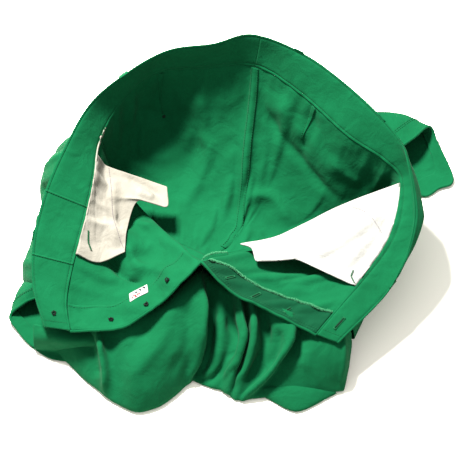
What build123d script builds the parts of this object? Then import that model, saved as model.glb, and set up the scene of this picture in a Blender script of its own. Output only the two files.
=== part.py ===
"""Work trousers of a chemical protective suit, dropped on the floor with the waist held open.

Millimetres. +X is the wearer's left, -Y is the wearer's front, +Z is up, and the origin is on the
floor under the middle of the heap. Cloth pieces are thin closed solids along their lying shape.
"""

from build123d import *
from math import cos, pi
import os

# ---- Driving dimensions ----------------------------------------------------------------------
CLOTH = 1.2  # one layer of twill
BAND = 2.6  # waistband: two layers of twill and an interlining
LINING = 1.6  # pocket bag: two layers of thin cotton
FACING = 1.4  # fly facing: a doubled strip of twill
SEAM_GAP = 1.5  # between the edges of two pieces that are sewn together
SIDE_GAP = 3.6  # each way from the right side seam, where the cloth folds sharply
LEG_GAP = 6.0  # from the fold between the legs to the front and back panels' lower edges
CROTCH_GAP = 6.0  # between the two front panels, below the fly
PANEL_DROP = 4.0  # from the waistband seam down to the panels' cut edge
FACING_LIFT = 1.4  # clear space between a panel's inner face and the facing on it

FLY_STRIP = (0.02, 0.17)  # of a front panel, from the fly edge towards the side seam
FLY_ROWS = (0.02, 0.68)  # of a front panel, from the waist down
FLY_BUTTON_ROWS = (0.14, 0.34, 0.54)

BUTTON_R = 8.5
BUTTON_THICK = 3.0
BUTTON_HOLE_RING = 2.2
BUTTON_HOLE_R = 0.9
BUTTON_EDGE = 0.9  # rounding of the rim
BUTTON_GAP = 3.2  # thread shank between the cloth and the button
THREAD_CLEAR = 0.3
SHANK_R = 1.2
KNOT_R = 2.0
KNOT_THICK = 0.8
BUTTONHOLE = (20.0, 2.4)
BAND_BUTTON = (0.04, 0.5)  # along the right half of the waistband, and across it
BAND_BUTTONHOLE = (0.96, 0.5)  # along the left half, and across it

LOOP_WIDTH = 12.0
LOOP_THICK = 1.4
LOOP_GAP = 2.0

LOOP_ROWS = (0.04, 0.9)  # across the waistband
# Half of the waistband that each belt loop is on, and its place along that half.
LOOPS = [("right", 0.22), ("right", 0.66), ("left", 0.1), ("left", 0.36), ("left", 0.8)]

LABEL = (24.0, 19.0, 0.6)
LABEL_PLACE = (0.11, 0.42)  # on the right front panel
LABEL_LIFT = 1.2

POCKET_LIFT = 6.0
# Pocket bags: the panel that each lies on, its u range at its top and at its bottom, and its rows.
POCKETS = {
    "pocket_bag_right": ("front_panel_right", (0.42, 0.96), (0.5, 0.9), (0.05, 0.62)),
    "pocket_bag_left": ("front_panel_left", (0.04, 0.72), (0.3, 0.78), (0.05, 0.78)),
}

BAND_ROLL = [0, 0, 0, 12, 24, 14, 0, 0]  # how far the left half stands out where it is rolled

UNDER_HEIGHT = 15.0  # leg folded flat under the seat
LOBE_HEIGHT = 34.0  # leg folded forward under the fly
LOBE_CROWN = 0.72  # how much smaller a fold's outline is at its top
LOBE_FOOT = 0.97  # and on the floor
LOBE_GIRTH = 0.4  # share of its height where it is widest

HEM_HEIGHT = 20.0  # open end of a leg, lying flat
HEM_WALL = 2.4  # turned and stitched edge of the leg
HEM_LENGTH = 70.0

# ---- Waist -----------------------------------------------------------------------------------
# The waistband from the right front corner, round the back, to the left front corner:
# its sewn lower edge and its free upper edge, point against point.
CENTRE_BACK = 9
SIDE_RIGHT = 5
SIDE_LEFT = 13
WAIST_SEAM = [
    (-198, -130, 52), (-203, -93, 58), (-195, -46, 70), (-181, 7, 84), (-171, 57, 97), (-164, 108, 108),
    (-136, 159, 118), (-94, 191, 130), (-34, 194, 138), (27, 193, 143),
    (83, 157, 135), (140, 107, 118), (186, 81, 102), (206, 56, 90), (192, -9, 74), (156, -64, 62),
    (100, -135, 52),
]  # fmt: skip
WAIST_EDGE = [
    (-229, -122, 46), (-244, -74, 62), (-244, -19, 82), (-230, 36, 103), (-209, 81, 124), (-176, 138, 143),
    (-129, 175, 158), (-79, 199, 170), (-24, 203, 178), (25, 212, 185),
    (91, 189, 172), (156, 145, 148), (201, 99, 130), (214, 65, 120), (220, -4, 92), (193, -74, 62),
    (127, -145, 48),
]  # fmt: skip

# ---- Seams below the waist -------------------------------------------------------------------
FLY_END = (-39, -58, 92)
FLY_RIGHT = [(-198, -130, 48), (-141, -131, 56), (-104, -115, 66), (-73, -92, 76)]
FLY_LEFT = [(100, -135, 48), (76, -125, 56), (40, -109, 66), (-4, -91, 78)]
CROTCH_FRONT = [FLY_END, (-38, -44, 66), (-30, -14, 28)]
CROTCH_BACK = (-30, -8, 28)
CROTCH_RIGHT = (-92, 22, 29)
CROTCH_LEFT = (52, 12, 26)
BACK_SEAM = [(27, 191, 139), (25, 168, 112), (19, 124, 68), (13, 70, 38), CROTCH_BACK]
SIDE_SEAM_RIGHT = [(-163, 107, 104), (-158, 104, 60), (-142, 88, 34), CROTCH_RIGHT]
SIDE_SEAM_LEFT = [(204, 56, 86), (188, 58, 54), (150, 54, 28), CROTCH_LEFT]
# Lines down a panel between its seams: the waist seam point that each hangs from, and those below.
PANEL_LINES = {
    3: [(-158, 6, 70), (-136, 12, 60), (-106, 20, 70), (-88, 24, 40)],
    7: [(-92, 181, 92), (-82, 158, 58), (-64, 110, 38)],
    11: [(133, 97, 86), (119, 77, 56), (92, 44, 38)],
}

# ---- Outside of the seat and legs, which fills out from the waist seam to the floor -----------
HEAP_MIDDLE_Y = 40.0
OUTSIDE_HEM = 2.0  # above the floor
OUTSIDE_TOP = 3.2  # clear space from the panels' outer side
# Floor line from the right front corner round the back to the left front corner.
OUTSIDE_FLOOR_RIGHT = [
    (-246, -20), (-244, 24), (-236, 90), (-206, 142), (-154, 176), (-102, 196), (-38, 200), (19, 201),
]  # fmt: skip
OUTSIDE_FLOOR_LEFT = [(25, 201), (88, 193), (134, 164), (160, 128), (190, 66), (186, -4), (168, -60)]
OUTSIDE_BULGE_RIGHT = (-240, -44, 36)
OUTSIDE_BULGE_BACK = (24, 207, 60)
OUTSIDE_BULGE_LEFT = (170, -63, 26)

# ---- Legs, folded under the trunk -------------------------------------------------------------
UNDER_RIGHT = [(-190, -20), (-196, 50), (-165, 112), (-95, 160), (-16, 164), (-8, 80), (-40, 0), (-110, -45)]
UNDER_LEFT = [(0, 80), (6, 164), (68, 148), (128, 106), (160, 50), (148, -15), (85, -42), (6, -10)]
LOBE_RIGHT = [
    (-188, -132), (-160, -172), (-120, -209), (-98, -206), (-48, -174), (-34, -112), (-66, -74), (-130, -70),
    (-176, -92),
]  # fmt: skip
LOBE_LEFT = [
    (4, -196), (36, -188), (62, -210), (84, -210), (120, -188), (136, -160), (138, -112), (108, -76),
    (52, -66), (4, -82), (-8, -130),
]  # fmt: skip

# A leg's open end: middle of its opening, width, and the way it faces in degrees from +X.
HEM_RIGHT = ((-246, -108), 76.0, -126.0)
HEM_LEFT = ((243, 88), 80.0, -59.0)

GRID = 9  # points each way on a panel
BAND_GRID = 15  # points along half of the waistband
BAND_LINES = 4  # and across it


def blend(a, b, share):
    return Vector(a) * (1 - share) + Vector(b) * share


class Patch:
    """Cloth between four boundary curves: u runs along the waist, v runs down from it.

    It can also follow one line down its middle, given as the line's u and its points.
    """

    def __init__(self, waist, hem, start, end, line=None):
        self.waist, self.hem, start, end = (Edge.make_spline(c) for c in (waist, hem, start, end))
        self.lines = [(0.0, start), (1.0, end)]
        if line:
            place, points = line
            down = Edge.make_spline([self.waist @ place, *points, self.hem @ place])
            self.lines.insert(1, (place, down))

    def at(self, u, v):
        (before, start), (after, end) = next(
            pair for pair in zip(self.lines, self.lines[1:]) if u <= pair[1][0] + 1e-9
        )
        share = (u - before) / (after - before)
        if len(self.lines) > 2:
            share = (1 - cos(pi * share)) / 2
        columns = blend(start @ v, end @ v, share)
        tops = blend(self.waist @ before, self.waist @ after, share)
        corners = blend(tops, blend(self.hem @ before, self.hem @ after, share), v)
        return blend(self.waist @ u, self.hem @ u, v) + columns - corners

    def inward(self, u, v, step=0.02):
        """Unit normal on the garment's inner side."""
        along = self.at(min(1, u + step), v) - self.at(max(0, u - step), v)
        down = self.at(u, min(1, v + step)) - self.at(u, max(0, v - step))
        return down.cross(along).normalized()

    def plane(self, u, v, lift=0.0, step=0.02):
        """Plane on the patch: its x runs along the waist and its z points to the inner side."""
        along = self.at(min(1, u + step), v) - self.at(max(0, u - step), v)
        inward = self.inward(u, v)
        return Plane(self.at(u, v) + inward * lift, x_dir=along, z_dir=inward)

    def face(self, top=(0, 1), bottom=None, rows=(0, 1), lift=0.0, columns=GRID, lines=GRID):
        """Part of the patch: its u range at the top row and at the bottom row, moved inward by lift."""
        bottom = bottom or top
        grid = []
        for down in (i / (lines - 1) for i in range(lines)):
            first = top[0] + (bottom[0] - top[0]) * down
            last = top[1] + (bottom[1] - top[1]) * down
            v = rows[0] + (rows[1] - rows[0]) * down
            us = [first + (last - first) * i / (columns - 1) for i in range(columns)]
            grid.append([self.at(u, v) + self.inward(u, v) * lift for u in us])
        return Face.make_surface_from_array_of_points(grid)


class Ribbon(Patch):
    """Half of the waistband, whose middle row can stand out of the strip where the strip is rolled."""

    def __init__(self, edge, seam, roll):
        self.edge, self.seam = Edge.make_spline(edge), Edge.make_spline(seam)
        self.roll = roll

    def at(self, u, v):
        stations = len(self.roll) - 1
        index = min(int(u * stations), stations - 1)
        share = (1 - cos(pi * (u * stations - index))) / 2
        roll = self.roll[index] * (1 - share) + self.roll[index + 1] * share
        return blend(self.edge @ u, self.seam @ u, v) + Vector(1, 0, -0.1) * (4 * v * (1 - v) * roll)


def lowered(points, drop=PANEL_DROP):
    return [(x, y, z - drop) for x, y, z in points]


def narrowed(points, first, last):
    """The points with the two ends moved inwards along the curve."""
    curve = Edge.make_spline(points)
    ends = first / curve.length, 1 - last / curve.length
    return [curve @ ends[0], *points[1:-1], curve @ ends[1]]


def save(part, name):
    part.label = name
    export_step(part, f"parts/{name}.step")


os.makedirs("parts", exist_ok=True)

# ---- Waistband -------------------------------------------------------------------------------
half = SEAM_GAP / 2
BACK_RIGHT, BACK_LEFT = slice(0, CENTRE_BACK + 1), slice(CENTRE_BACK, None)
band_right = Ribbon(
    narrowed(WAIST_EDGE[BACK_RIGHT], 0, half), narrowed(WAIST_SEAM[BACK_RIGHT], 0, half), [0, 0]
)
band_left = Ribbon(
    narrowed(WAIST_EDGE[BACK_LEFT], half, 0), narrowed(WAIST_SEAM[BACK_LEFT], half, 0), BAND_ROLL
)

with BuildPart() as waistband_right:
    thicken(band_right.face(columns=BAND_GRID, lines=BAND_LINES), amount=BAND)
save(waistband_right.part, "waistband_right")

with BuildPart() as waistband_left:
    thicken(band_left.face(columns=BAND_GRID, lines=BAND_LINES), amount=BAND)
    with BuildSketch(band_left.plane(*BAND_BUTTONHOLE, -BAND)):
        SlotOverall(*BUTTONHOLE)
    extrude(amount=3 * BAND, mode=Mode.SUBTRACT)
save(waistband_left.part, "waistband_left")

# ---- Panels ----------------------------------------------------------------------------------
# u runs from the right front corner round the back to the left front corner on every panel.
def panel(first, last, start, end, hem):
    waist = narrowed(lowered(WAIST_SEAM[first : last + 1]), SEAM_GAP, SEAM_GAP)
    places = [k for k in PANEL_LINES if first < k < last]
    line = ((places[0] - first) / (last - first), PANEL_LINES[places[0]]) if places else None
    return Patch([start[0], *waist[1:-1], end[0]], [start[-1], *hem, end[-1]], start, end, line)


def beside(points, shift):
    return [tuple(Vector(p) + Vector(shift)) for p in points]


panels = {
    "front_panel_right": panel(
        0,
        SIDE_RIGHT,
        FLY_RIGHT + beside(CROTCH_FRONT, (-CROTCH_GAP / 2, 0, 0)),
        beside(SIDE_SEAM_RIGHT, (-SIDE_GAP, -SIDE_GAP, 0)),
        beside([blend(CROTCH_FRONT[-1], CROTCH_RIGHT, 0.5)], (-LEG_GAP, -LEG_GAP, 0)),
    ),
    "back_panel_right": panel(
        SIDE_RIGHT,
        CENTRE_BACK,
        beside(SIDE_SEAM_RIGHT, (SIDE_GAP, SIDE_GAP, 0)),
        beside(BACK_SEAM, (-half, 0, 0)),
        beside([blend(CROTCH_RIGHT, CROTCH_BACK, 0.5)], (LEG_GAP, LEG_GAP, 0)),
    ),
    "back_panel_left": panel(
        CENTRE_BACK,
        SIDE_LEFT,
        beside(BACK_SEAM, (half, 0, 0)),
        beside(SIDE_SEAM_LEFT, (0, half, 0)),
        [blend(CROTCH_BACK, CROTCH_LEFT, 0.5)],
    ),
    "front_panel_left": panel(
        SIDE_LEFT,
        len(WAIST_SEAM) - 1,
        beside(SIDE_SEAM_LEFT, (0, -half, 0)),
        FLY_LEFT + beside(CROTCH_FRONT, (CROTCH_GAP / 2, 0, 0)),
        [blend(CROTCH_LEFT, CROTCH_FRONT[-1], 0.5)],
    ),
}
for name, patch in panels.items():
    with BuildPart() as cloth:
        thicken(patch.face(), amount=CLOTH)
    save(cloth.part, name)
front_right, front_left = panels["front_panel_right"], panels["front_panel_left"]

# ---- Fly -------------------------------------------------------------------------------------
inner = CLOTH + FACING_LIFT
with BuildPart() as button_stand:
    thicken(front_right.face(top=FLY_STRIP, rows=FLY_ROWS, lift=inner), amount=FACING)
save(button_stand.part, "button_stand")

fly_middle = 1 - (FLY_STRIP[0] + FLY_STRIP[1]) / 2
with BuildPart() as buttonhole_facing:
    strip = (1 - FLY_STRIP[1], 1 - FLY_STRIP[0])
    thicken(front_left.face(top=strip, rows=FLY_ROWS, lift=inner), amount=FACING)
    for row in FLY_BUTTON_ROWS:
        with BuildSketch(front_left.plane(fly_middle, row, inner - FACING)):
            SlotOverall(*BUTTONHOLE, rotation=90)
        extrude(amount=3 * FACING, mode=Mode.SUBTRACT)
save(buttonhole_facing.part, "buttonhole_facing")

# Every button hangs on a thread shank from the outer side, with the knot on the inner side.
BUTTONS = {"waist_button": (band_right, *BAND_BUTTON, BAND)}
for number, row in enumerate(FLY_BUTTON_ROWS, start=1):
    BUTTONS[f"fly_button_{number}"] = (front_right, 1 - fly_middle, row, inner + FACING)

for name, (patch, u, v, _) in BUTTONS.items():
    with BuildPart() as button:
        with BuildSketch(patch.plane(u, v, -BUTTON_GAP)):
            Circle(BUTTON_R)
            with PolarLocations(BUTTON_HOLE_RING, 4):
                Circle(BUTTON_HOLE_R, mode=Mode.SUBTRACT)
        extrude(amount=-BUTTON_THICK)
        fillet(button.edges().filter_by(GeomType.CIRCLE).sort_by(SortBy.RADIUS)[-2:], BUTTON_EDGE)
    save(button.part, name)

with BuildPart() as button_threads:
    for patch, u, v, inner_side in BUTTONS.values():
        with BuildSketch(patch.plane(u, v, -THREAD_CLEAR)):
            Circle(SHANK_R)
        extrude(amount=-(BUTTON_GAP - 3 * THREAD_CLEAR))
        with BuildSketch(patch.plane(u, v, inner_side + THREAD_CLEAR)):
            Circle(KNOT_R)
        extrude(amount=KNOT_THICK)
save(button_threads.part, "button_threads")

with BuildPart() as size_label:
    with BuildSketch(front_right.plane(*LABEL_PLACE, inner + FACING + LABEL_LIFT)):
        Rectangle(*LABEL[:2])
    extrude(amount=LABEL[2])
save(size_label.part, "size_label")

# ---- Belt loops ------------------------------------------------------------------------------
loop_lift = -(LOOP_GAP + LOOP_THICK)
for number, (half_band, place) in enumerate(LOOPS, start=1):
    ribbon = band_left if half_band == "left" else band_right
    width = LOOP_WIDTH / ribbon.seam.length / 2
    with BuildPart() as belt_loop:
        ends = (place - width, place + width)
        thicken(ribbon.face(top=ends, rows=LOOP_ROWS, lift=loop_lift), amount=LOOP_THICK)
    save(belt_loop.part, f"belt_loop_{number}")

# ---- Pocket bags -----------------------------------------------------------------------------
for name, (patch, top, bottom, rows) in POCKETS.items():
    with BuildPart() as pocket_bag:
        thicken(panels[patch].face(top=top, bottom=bottom, rows=rows, lift=POCKET_LIFT), amount=LINING)
    save(pocket_bag.part, name)

# ---- Outside of the seat and legs ------------------------------------------------------------
def outside(first, last, floor, start_bulge, end_bulge, name):
    top = []
    for x, y, z in narrowed(lowered(WAIST_SEAM[first : last + 1], 2 * PANEL_DROP), SEAM_GAP, SEAM_GAP):
        away = Vector(x, y - HEAP_MIDDLE_Y, 0).normalized() * OUTSIDE_TOP
        top.append((x + away.X, y + away.Y, z))
    hem = [(x, y, OUTSIDE_HEM) for x, y in floor]
    drape = Patch(top, hem, [top[0], start_bulge, hem[0]], [top[-1], end_bulge, hem[-1]])
    with BuildPart() as cloth:
        thicken(drape.face(columns=BAND_GRID, lines=BAND_LINES + 1), amount=CLOTH)
    save(cloth.part, name)


right_bulge, left_bulge = (
    tuple(Vector(OUTSIDE_BULGE_BACK) + Vector(side * SEAM_GAP, 0, 0)) for side in (-1, 1)
)
outside(2, CENTRE_BACK, OUTSIDE_FLOOR_RIGHT, OUTSIDE_BULGE_RIGHT, right_bulge, "seat_outside_right")
outside(CENTRE_BACK, 15, OUTSIDE_FLOOR_LEFT, left_bulge, OUTSIDE_BULGE_LEFT, "seat_outside_left")

# ---- Folded legs and their open ends ---------------------------------------------------------
def shrunk(points, share):
    middle = (sum(x for x, _ in points) / len(points), sum(y for _, y in points) / len(points))
    return [(middle[0] + (x - middle[0]) * share, middle[1] + (y - middle[1]) * share) for x, y in points]


def fold(outline, height, name):
    with BuildPart() as folded:
        for level, share in ((0, LOBE_FOOT), (height * LOBE_GIRTH, 1), (height, LOBE_CROWN)):
            with BuildSketch(Plane.XY.offset(level)):
                with BuildLine():
                    Spline(*shrunk(outline, share), periodic=True)
                make_face()
        loft()
    save(folded.part, name)


fold(UNDER_RIGHT, UNDER_HEIGHT, "right_leg_under_fold")
fold(UNDER_LEFT, UNDER_HEIGHT, "left_leg_under_fold")
fold(LOBE_RIGHT, LOBE_HEIGHT, "right_leg_front_fold")
fold(LOBE_LEFT, LOBE_HEIGHT, "left_leg_front_fold")


def hem(place, name):
    (x, y), width, facing = place
    mouth = Plane((x, y, HEM_HEIGHT / 2), z_dir=Vector(1, 0, 0).rotate(Axis.Z, facing))
    mouth = Plane(mouth.origin, x_dir=Vector(0, 0, 1).cross(mouth.z_dir), z_dir=mouth.z_dir)
    with BuildPart() as leg_end:
        with BuildSketch(mouth):
            RectangleRounded(width, HEM_HEIGHT, HEM_HEIGHT / 2 - 0.5)
            offset(amount=-HEM_WALL, mode=Mode.SUBTRACT)
        extrude(amount=-HEM_LENGTH)
    save(leg_end.part, name)


hem(HEM_RIGHT, "right_hem")
hem(HEM_LEFT, "left_hem")
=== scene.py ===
"""Looks of the protective suit trousers: green twill heaped on a floor, the open waist facing the camera.

All lengths are metres in the CAD model's own frame: +X is the wearer's left, -Y the open fly, +Z up.
"""

import math
import random

import bpy
import numpy as np
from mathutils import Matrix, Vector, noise
from mathutils.bvhtree import BVHTree


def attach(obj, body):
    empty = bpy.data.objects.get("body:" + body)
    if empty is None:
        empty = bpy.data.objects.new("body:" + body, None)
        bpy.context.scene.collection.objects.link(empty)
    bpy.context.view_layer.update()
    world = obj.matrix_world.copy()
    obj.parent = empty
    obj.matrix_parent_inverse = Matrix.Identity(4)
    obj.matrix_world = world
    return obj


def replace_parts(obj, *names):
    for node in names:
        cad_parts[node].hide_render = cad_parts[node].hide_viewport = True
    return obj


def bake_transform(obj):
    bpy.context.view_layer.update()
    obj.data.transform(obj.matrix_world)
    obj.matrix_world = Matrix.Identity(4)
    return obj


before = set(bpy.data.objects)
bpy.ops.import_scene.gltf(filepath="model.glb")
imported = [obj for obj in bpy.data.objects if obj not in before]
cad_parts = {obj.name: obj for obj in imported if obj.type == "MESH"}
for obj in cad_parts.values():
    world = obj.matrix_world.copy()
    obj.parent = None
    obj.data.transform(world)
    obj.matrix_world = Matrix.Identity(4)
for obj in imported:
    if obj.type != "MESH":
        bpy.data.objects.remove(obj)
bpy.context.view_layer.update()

MM = 0.001
scene = bpy.context.scene
scene.view_settings.view_transform = "Standard"
ROOT = "trousers"


def metres(points):
    return np.array(points, float) * MM


def unit(vectors):
    return vectors / np.linalg.norm(vectors, axis=-1, keepdims=True)


def nearest(points, place):
    """The index of the point nearest to a place."""
    return np.linalg.norm(points - np.array(place), axis=1).argmin()


def run_lengths(points):
    """How far along its line each point lies."""
    return np.r_[0, np.cumsum(np.linalg.norm(np.diff(points, axis=0), axis=1))]


# ---- Waist and seams, the same lines as the CAD panels (millimetres) -------------------------------------
CENTRE_BACK, SIDE_RIGHT, SIDE_LEFT = 9, 5, 13
WAIST_SEAM = metres([
    (-198, -130, 52), (-203, -93, 58), (-195, -46, 70), (-181, 7, 84), (-171, 57, 97), (-164, 108, 108),
    (-136, 159, 118), (-94, 191, 130), (-34, 194, 138), (27, 193, 143),
    (83, 157, 135), (140, 107, 118), (186, 81, 102), (206, 56, 90), (192, -9, 74), (156, -64, 62),
    (100, -135, 52),
])
WAIST_EDGE = metres([
    (-229, -122, 46), (-244, -74, 62), (-244, -19, 82), (-230, 36, 103), (-209, 81, 124), (-176, 138, 143),
    (-129, 175, 158), (-79, 199, 170), (-24, 203, 178), (25, 212, 185),
    (91, 189, 172), (156, 145, 148), (201, 99, 130), (214, 65, 120), (220, -4, 92), (193, -74, 62),
    (127, -145, 48),
])
FLY_END = (-39, -58, 92)
FLY_RIGHT = metres([(-198, -130, 50), (-141, -131, 56), (-104, -115, 66), (-73, -92, 76), FLY_END])
FLY_LEFT = metres([(100, -135, 50), (76, -125, 56), (40, -109, 66), (-4, -91, 78), FLY_END])
CROTCH_FRONT = metres([(-38, -44, 66), (-30, -14, 26)])
CROTCH_BACK = metres([(-30, -14, 26)])
CROTCH_RIGHT = metres([(-92, 22, 24)])
CROTCH_LEFT = metres([(52, 8, 24)])
BACK_SEAM = metres([(27, 193, 143), (25, 168, 112), (19, 124, 68), (13, 70, 38), (4, 18, 26)])
SIDE_SEAM_RIGHT = metres([(-164, 108, 108), (-158, 104, 60), (-142, 88, 30)])
SIDE_SEAM_LEFT = metres([(206, 56, 90), (188, 58, 54), (150, 54, 28)])


# ---- Curves and grids ------------------------------------------------------------------------------------
SPAN_STEPS = 24
FOLD_POINTS = 48


def span(points, first, last, count):
    """count points, evenly spaced by length, between two of the points that a smooth curve goes through."""
    p = np.array(points, float)
    p = np.vstack([2 * p[0] - p[1], p, 2 * p[-1] - p[-2]])
    fine = [p[first + 1]]
    for i in range(first, last):
        a, b, c, d = p[i : i + 4]
        for t in np.arange(1, SPAN_STEPS + 1) / SPAN_STEPS:
            square, cube = 2 * a - 5 * b + 4 * c - d, 3 * b - a - 3 * c + d
            fine.append(0.5 * (2 * b + (c - a) * t + square * t**2 + cube * t**3))
    fine = np.array(fine)
    run = run_lengths(fine)
    at = np.linspace(0, run[-1], count)
    return np.stack([np.interp(at, run, values) for values in fine.T], 1)


def curve(points, count):
    return span(points, 0, len(points) - 1, count)


def coons(top, bottom, start, end):
    """A grid of rows by columns between four curves; start and end run down the first and last column."""
    u = np.linspace(0, 1, len(top))[None, :, None]
    v = np.linspace(0, 1, len(start))[:, None, None]
    corners = (1 - v) * ((1 - u) * top[0] + u * top[-1]) + v * ((1 - u) * bottom[0] + u * bottom[-1])
    return (1 - v) * top[None] + v * bottom[None] + (1 - u) * start[:, None] + u * end[:, None] - corners


def normals(grid):
    along = np.gradient(grid, axis=1)
    down = np.gradient(grid, axis=0)
    n = np.cross(down, along)
    return n / np.maximum(np.linalg.norm(n, axis=2, keepdims=True), 1e-9)


def smooth_rows(columns, rows, across):
    """A grid from given columns: so many points down each, then so many across from side to side."""
    down = np.stack([curve(c, rows) for c in columns], 1)
    return np.stack([curve(row, across) for row in down])


def wrinkle(grid, folds, held_rows=3):
    """Raises folds along given lines: points, half width, height, and how steep the left side is."""
    n = normals(grid)
    raised = np.zeros(grid.shape[:2])
    points = grid.reshape(-1, 3)
    for line, half_width, height, steep in folds:
        snapped = [nearest(points, place) for place in metres(line)]
        path = curve(points[list(dict.fromkeys(snapped))], FOLD_POINTS)
        away = points[:, None] - path[None]
        closest = np.linalg.norm(away, axis=2).argmin(1)
        offset = away[np.arange(len(points)), closest]
        tangent = np.gradient(path, axis=0)[closest]
        side = np.sign(np.einsum("ij,ij->i", np.cross(tangent, offset), n.reshape(-1, 3)))
        distance = np.linalg.norm(offset, axis=1) / (half_width * MM)
        distance = distance * np.where(side > 0, steep, 1.0)
        along = closest / (FOLD_POINTS - 1)
        taper = np.clip(np.minimum(along, 1 - along) * 5 + 0.1, 0, 1)
        raised += (height * MM * np.exp(-(distance**2)) * taper).reshape(raised.shape)
    if held_rows:
        raised *= np.clip(np.arange(len(grid)) / held_rows, 0, 1)[:, None]
    return grid + n * raised[..., None]


def rumple(grid, height, scale, held_rows=3, seed=0.0):
    """Small irregular creases all over a piece of cloth."""
    n = normals(grid)
    rough = np.zeros(grid.shape[:2])
    for index in np.ndindex(rough.shape):
        place = Vector(grid[index]) * scale + Vector((seed, seed * 0.7, 0))
        rough[index] = noise.ridged_multi_fractal(place, 1.0, 2.1, 3, 1.0, 1.6)
    rough -= rough.mean()
    if held_rows:
        rough *= np.clip(np.arange(len(grid)) / held_rows, 0, 1)[:, None]
    return grid + n * (height * rough)[..., None]


def mesh_object(name, verts, faces, uvs=None):
    me = bpy.data.meshes.new(name)
    me.from_pydata([tuple(v) for v in verts], [], faces)
    if uvs is not None:
        layer = me.uv_layers.new(name="flat")
        for loop in me.loops:
            layer.data[loop.index].uv = uvs[loop.vertex_index]
    me.polygons.foreach_set("use_smooth", [True] * len(me.polygons))
    me.update()
    ob = bpy.data.objects.new(name, me)
    scene.collection.objects.link(ob)
    return ob


def flat_coordinates(grid):
    """Distances along the cloth from its first row and column, so that the weave keeps its scale."""
    across = np.cumsum(np.pad(np.linalg.norm(np.diff(grid, axis=1), axis=2), ((0, 0), (1, 0))), axis=1)
    down = np.cumsum(np.pad(np.linalg.norm(np.diff(grid, axis=0), axis=2), ((1, 0), (0, 0))), axis=0)
    return np.stack(np.broadcast_arrays(across.mean(0)[None, :], down.mean(1)[:, None]), 2)


def grid_faces(rows, columns):
    starts = [r * columns + c for r in range(rows - 1) for c in range(columns - 1)]
    return [(a, a + columns, a + columns + 1, a + 1) for a in starts]


def grid_object(name, grid):
    flat = flat_coordinates(grid).reshape(-1, 2)
    return mesh_object(name, grid.reshape(-1, 3), grid_faces(*grid.shape[:2]), flat)


def modifier(ob, kind, **settings):
    m = ob.modifiers.new(kind.lower(), kind)
    for key, value in settings.items():
        setattr(m, key, value)
    return m


# A pocket bag is sewn in along its top: a point of that line, and the way inward. Only the names are read.
BAG_LINES = {
    "pocket_bag_right": ((-0.1695, 0.0282, 0.0860), (0.98, -0.12, -0.16)),
    "pocket_bag_left": ((0.1685, -0.0192, 0.0684), (-0.89, 0.456, 0.0)),
}


def dress(ob, material, slot, body=ROOT, thickness=0.0012, levels=1):
    """Cloth thickness, smoothing, material and body of a piece made from a grid."""
    if levels:
        modifier(ob, "SUBSURF", levels=levels, render_levels=levels)
    if thickness:
        modifier(ob, "SOLIDIFY", thickness=thickness, offset=0.0, use_rim=True)
    ob.data.materials.append(material)
    if body in BAG_LINES:
        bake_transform(ob)
    else:
        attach(ob, body)
    return ob


# ---- Materials -------------------------------------------------------------------------------------------
class Shader:
    """A Principled material whose nodes are added one after another."""

    def __init__(self, name, **sockets):
        self.material = bpy.data.materials.new(name)
        self.material.use_nodes = True
        self.nodes, self.links = self.material.node_tree.nodes, self.material.node_tree.links
        self.bsdf = self.nodes["Principled BSDF"]
        for socket, value in sockets.items():
            self.bsdf.inputs[socket.replace("_", " ")].default_value = value

    def node(self, kind, inputs=(), **settings):
        n = self.nodes.new(kind)
        for key, value in settings.items():
            setattr(n, key, value)
        for key, value in dict(inputs).items():
            if isinstance(value, bpy.types.NodeSocket):
                self.links.new(value, n.inputs[key])
            else:
                n.inputs[key].default_value = value
        return n

    def link(self, socket, name):
        self.links.new(socket, self.bsdf.inputs[name])


WEAVE_LEAN = math.radians(58)
WAVE_SCALE = 0.314  # a wave texture of scale 1 repeats every 0.314
CREASE = 0.0034


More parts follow.
